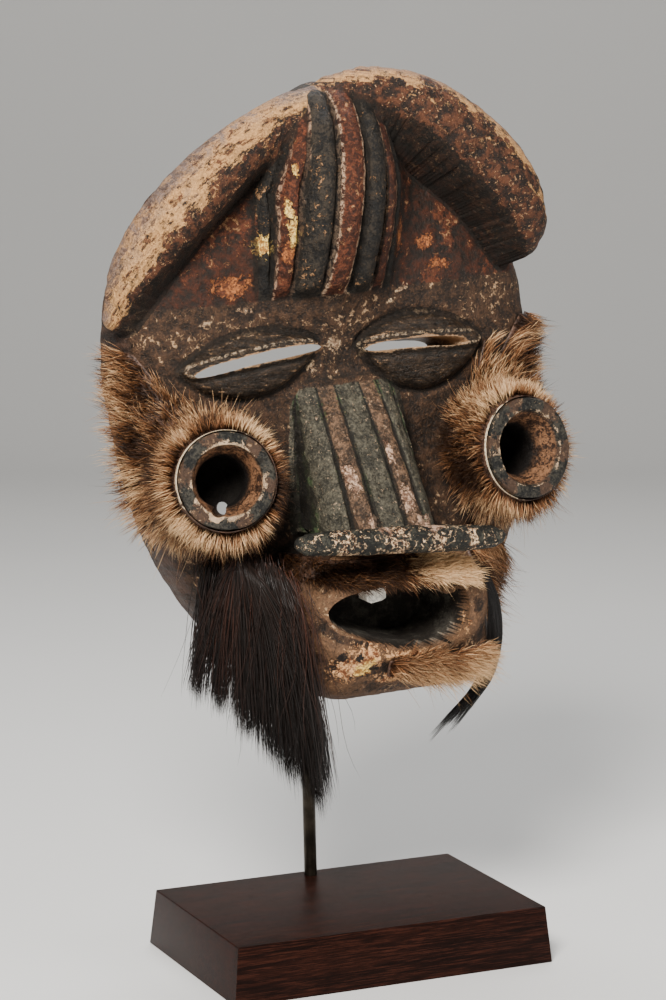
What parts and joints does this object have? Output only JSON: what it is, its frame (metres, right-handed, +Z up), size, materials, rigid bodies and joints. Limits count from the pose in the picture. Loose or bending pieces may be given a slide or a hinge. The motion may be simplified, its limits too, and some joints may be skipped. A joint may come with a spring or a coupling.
{
  "type": "carved face mask on a stand",
  "caption": "Carved wooden face mask with tubular cheeks, fur hides, a hair beard and a hair lock, held on a rod over a dark rectangular wooden base.",
  "frame": {"origin": "centre of the base's underside, where it stands on a surface", "axes": "+Z up, -Y the way the mask faces, +X to the right as one faces the mask"},
  "size_m": [0.2284, 0.1098, 0.4265],
  "materials": {
    "mask_wood": "carved, darkened and worn, with remains of ochre, orange and pale purple paint",
    "hide_fur": "short brown fur with pale tips on thin hide",
    "beard_hair": "matted dark brown hair, reddish at the roots",
    "black_hair": "black coarse hair",
    "rod_metal": "dark bronzed steel, half polished",
    "base_wood": "dark rosewood, polished"
  },
  "bodies": {
    "root": {"mask": "mask_wood", "cheek_hide_left": "hide_fur", "cheek_hide_right": "hide_fur", "moustache": "hide_fur", "chin_fur": "hide_fur", "jaw_hide_right": "hide_fur", "beard": "beard_hair", "hair_lock": "black_hair", "stand_rod": "rod_metal", "base": "base_wood"}
  },
  "joints": []
}
